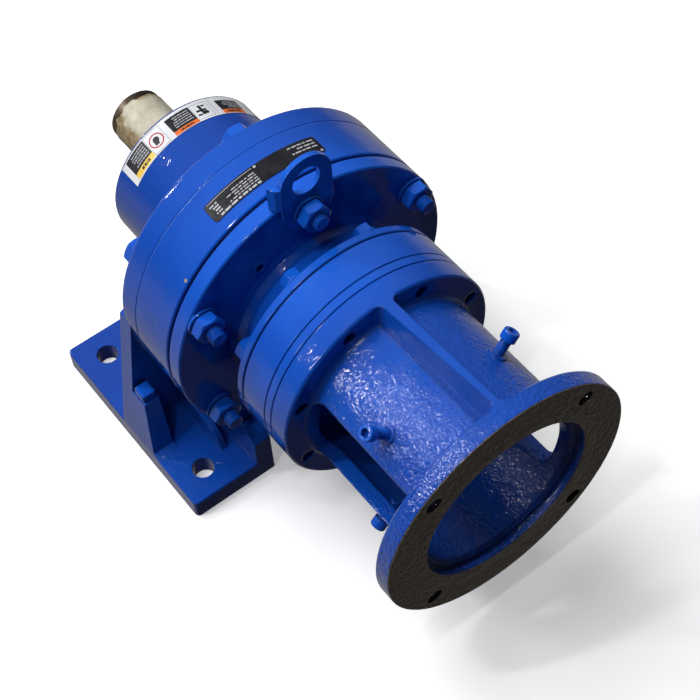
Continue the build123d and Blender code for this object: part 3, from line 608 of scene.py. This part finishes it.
chooser = random.Random(23)
plate_rows = bars(96.8, 111.5, 4, plate_x(0.26), plate_x(0.80), chooser, 0.62)
plate_rows += bars(97.0, 116.2, 1, plate_x(0.83), plate_x(0.955), chooser, 0.2)
plate_rows += bars(112.6, 116.4, 4, plate_x(0.20), plate_x(0.78), chooser, 0.5)
plate_rows += bars(72.0, 84.0, 3, plate_x(0.10), plate_x(0.66), chooser, 0.62)
plate_rows += [block(96.5, 116.0, plate_x(0.075), plate_x(0.100))]
plate_rows += [disc(95.3, plate_x(0.10), 0.9 * MM, R_PLATE), disc(72.0, plate_x(0.9), 0.9 * MM, R_PLATE)]
plate_ink = print_ink("plate_print", (0.38, 0.39, 0.41), 0.7)
wrapped("nameplate_print", plate_rows, R_PLATE, 0.05 * MM, plate_ink)


# ---------------------------------------------------------------- old wrapping tape on the output shaft
def tape_material():
    t = Tree("aged_wrapping_tape")
    stain = t.noise(38.0, 6.0, 0.68)
    speck = t.noise(300.0, 5.0, 0.7)
    cream = t.mix(t.ramp(t.noise(110.0, 4.0, 0.6), 0.3, 0.7), (0.34, 0.315, 0.24), (0.48, 0.46, 0.37))
    brown = t.mix(t.ramp(speck, 0.35, 0.65), (0.13, 0.085, 0.035), (0.30, 0.22, 0.11))
    x, y, z = t.split()
    lean = t.math("ADD", z, t.math("MULTIPLY", y, 0.6))
    low_side = t.ramp(lean, AXIS_Z - 10 * MM, AXIS_Z + 16 * MM, 0.34, 0.0)
    far_end = t.ramp(x, X_SHAFT_END + 6 * MM, X_SHAFT_END + 17 * MM, 0.20, 0.0)
    share = t.math("ADD", t.math("ADD", stain, low_side), far_end)
    colour = t.mix(t.ramp(share, 0.56, 0.72), cream, brown)
    dark = t.ramp(t.noise(420.0, 4.0, 0.75), 0.66, 0.74)
    colour = t.mix(t.math("MULTIPLY", dark, t.ramp(share, 0.50, 0.70)), colour, (0.03, 0.028, 0.025))
    mottle = t.ramp(t.noise(700.0, 3.0, 0.6), 0.35, 0.7, 0.0, 0.35)
    colour = t.mix(mottle, colour, (0.42, 0.38, 0.27))
    weave = t.math("MULTIPLY", t.noise(900.0, 3.0, 0.6), 0.35)
    height = t.math("ADD", t.noise(180.0, 5.0, 0.65, distort=1.0), weave)
    t.set(Base_Color=colour, Roughness=t.ramp(speck, 0.3, 0.7, 0.34, 0.62))
    t.set(Normal=t.bump(height, 0.7, 0.6 * MM))
    t.set(Coat_Weight=0.15, Coat_Roughness=0.3)
    return t.material


def shaft_tape():
    """Strip wound in lapped turns, with a torn edge near the shaft's end."""
    start = X_SHAFT_END + 6.5 * MM
    stop = X_SEAL - 0.9 * MM
    around = 180
    along = 110
    lap = 11.0 * MM
    rng = random.Random(11)
    ragged = [rng.uniform(-1.0, 1.0) for _ in range(36)]
    bm = bmesh.new()

    def tear(angle):
        share = angle / (2 * math.pi) * len(ragged)
        i = int(share) % len(ragged)
        blend = share - int(share)
        blend = blend * blend * (3 - 2 * blend)
        return ragged[i] * (1 - blend) + ragged[(i + 1) % len(ragged)] * blend

    rings = []
    for j in range(along + 1):
        ring = []
        for i in range(around):
            angle = 2 * math.pi * i / around
            edge = start + 1.3 * MM * tear(angle)
            x = edge + (stop - edge) * j / along
            phase = ((x - start) / lap + angle / (2 * math.pi)) % 1.0
            layer = 0.32 * MM * (1.0 if phase < 0.86 else (1.0 - phase) / 0.14)
            ripple = 0.05 * MM * math.sin(5 * angle + x * 900.0) * math.sin(11 * angle - x * 1400.0)
            reach = R_SHAFT + 0.15 * MM + layer + ripple
            if j in (0, along):
                reach = R_SHAFT + 0.08 * MM
            ring.append(bm.verts.new((x, reach * math.cos(angle), AXIS_Z + reach * math.sin(angle))))
        rings.append(ring)
    for low, high in zip(rings, rings[1:]):
        for i in range(around):
            k = (i + 1) % around
            bm.faces.new((low[i], low[k], high[k], high[i]))
    inner = []
    for ring in (rings[0], rings[-1]):
        row = []
        for i, vertex in enumerate(ring):
            angle = 2 * math.pi * i / around
            reach = R_SHAFT + 0.02 * MM
            y, z = reach * math.cos(angle), AXIS_Z + reach * math.sin(angle)
            row.append(bm.verts.new((vertex.co.x, y, z)))
        inner.append(row)
    for i in range(around):
        k = (i + 1) % around
        bm.faces.new((inner[0][k], rings[0][k], rings[0][i], inner[0][i]))
        bm.faces.new((inner[1][i], rings[-1][i], rings[-1][k], inner[1][k]))
        bm.faces.new((inner[0][i], inner[1][i], inner[1][k], inner[0][k]))
    bmesh.ops.recalc_face_normals(bm, faces=bm.faces)
    for face in bm.faces:
        face.smooth = True
    mesh = bpy.data.meshes.new("shaft_tape")
    bm.to_mesh(mesh)
    bm.free()
    return new_piece("shaft_tape", mesh, tape_material(), "output")


shaft_tape()


# ---------------------------------------------------------------- floor, world and lights
def floor():
    bm = bmesh.new()
    bmesh.ops.create_grid(bm, x_segments=8, y_segments=8, size=6.0)
    mesh = bpy.data.meshes.new("floor")
    bm.to_mesh(mesh)
    bm.free()
    piece = bpy.data.objects.new("floor", mesh)
    bpy.context.scene.collection.objects.link(piece)
    piece.location.z = CAD_LOW.z - 0.5 * MM
    t = Tree("pale_floor")
    t.set(Base_Color=t.mix(t.noise(3.0), (0.84, 0.845, 0.85), (0.87, 0.87, 0.875)), Roughness=0.75)
    t.set(Emission_Color=(1.0, 1.0, 1.0, 1.0), Emission_Strength=0.30)
    mesh.materials.append(t.material)
    piece.visible_glossy = False
    piece.visible_diffuse = False


floor()


def world():
    """Dim room: pale above and behind the object, almost black in front of its +X faces."""
    made = bpy.data.worlds.new("studio")
    bpy.context.scene.world = made
    made.use_nodes = True
    nodes, links = made.node_tree.nodes, made.node_tree.links
    nodes.clear()

    def ramp(value, low, high, out_low=0.0, out_high=1.0):
        node = nodes.new("ShaderNodeMapRange")
        node.interpolation_type = "SMOOTHSTEP"
        limits = {"From Min": low, "From Max": high, "To Min": out_low, "To Max": out_high}
        for key, number in limits.items():
            node.inputs[key].default_value = number
        links.new(value, node.inputs["Value"])
        return node.outputs["Result"]

    def join(kind, a, b):
        node = nodes.new("ShaderNodeMath")
        node.operation = kind
        for socket, value in zip(node.inputs, (a, b)):
            if isinstance(value, bpy.types.NodeSocket):
                links.new(value, socket)
            else:
                socket.default_value = value
        return node.outputs[0]

    def mix(share, a, b):
        node = nodes.new("ShaderNodeMix")
        node.data_type = "RGBA"
        links.new(share, node.inputs["Factor"])
        for socket, value in ((node.inputs[6], a), (node.inputs[7], b)):
            if isinstance(value, bpy.types.NodeSocket):
                links.new(value, socket)
            else:
                socket.default_value = (*value, 1.0)
        return node.outputs[2]

    coords = nodes.new("ShaderNodeTexCoord")
    parts = nodes.new("ShaderNodeSeparateXYZ")
    links.new(coords.outputs["Generated"], parts.inputs[0])
    x, y, z = parts.outputs
    behind = ramp(x, 0.30, -0.40, 0.05, 1.0)
    ceiling = join("MULTIPLY", ramp(z, 0.10, 0.75, 0.30, 1.0), behind)
    ground = join("MULTIPLY", ramp(z, 0.0, -0.30, 0.30, 1.0), ramp(x, 0.35, -0.30, 0.12, 1.0))
    upper = mix(ceiling, DARK_ROOM, PALE_CEILING)
    lower = mix(ground, DARK_ROOM, FLOOR_GLOW)
    colour = mix(ramp(z, 0.02, -0.02), upper, lower)
    around = nodes.new("ShaderNodeBackground")
    links.new(colour, around.inputs[0])
    to_camera = nodes.new("ShaderNodeBackground")
    to_camera.inputs[0].default_value = (0.93, 0.935, 0.94, 1)
    path = nodes.new("ShaderNodeLightPath")
    choose = nodes.new("ShaderNodeMixShader")
    out = nodes.new("ShaderNodeOutputWorld")
    links.new(path.outputs["Is Camera Ray"], choose.inputs[0])
    links.new(around.outputs[0], choose.inputs[1])
    links.new(to_camera.outputs[0], choose.inputs[2])
    links.new(choose.outputs[0], out.inputs[0])


DARK_ROOM = (0.010, 0.010, 0.012)
PALE_CEILING = (0.24, 0.25, 0.26)
FLOOR_GLOW = (0.30, 0.285, 0.265)
world()


def area(name, place, target, size, power, size_y=None, glossy=True):
    data = bpy.data.lights.new(name, "AREA")
    data.shape = "RECTANGLE"
    data.size = size
    data.size_y = size_y or size
    data.energy = power
    lamp = bpy.data.objects.new(name, data)
    bpy.context.scene.collection.objects.link(lamp)
    lamp.location = place
    lamp.rotation_mode = "QUATERNION"
    lamp.rotation_quaternion = (Vector(target) - Vector(place)).to_track_quat("-Z", "Y")
    lamp.visible_glossy = glossy


CENTRE = (CAD_LOW + CAD_HIGH) / 2
area("overhead", (-0.50, -0.15, 1.6), CENTRE, 0.9, 23.0, 1.3, glossy=False)
area("lamp_front", (0.30, -0.55, 1.5), CENTRE, 0.05, 3.5, 0.22)
area("lamp_key", (-0.22, -0.72, 1.5), CENTRE, 0.05, 5.0, 0.22)
area("lamp_back", (-1.25, -0.75, 1.0), CENTRE, 0.06, 6.0, 0.40)
area("lamp_side", (-0.45, -1.25, 0.95), CENTRE, 0.06, 4.0, 0.40)

scene = bpy.context.scene
scene.view_settings.view_transform = "Standard"
scene.view_settings.look = "None"
scene.view_settings.exposure = 0.0
scene.view_settings.gamma = 1.0
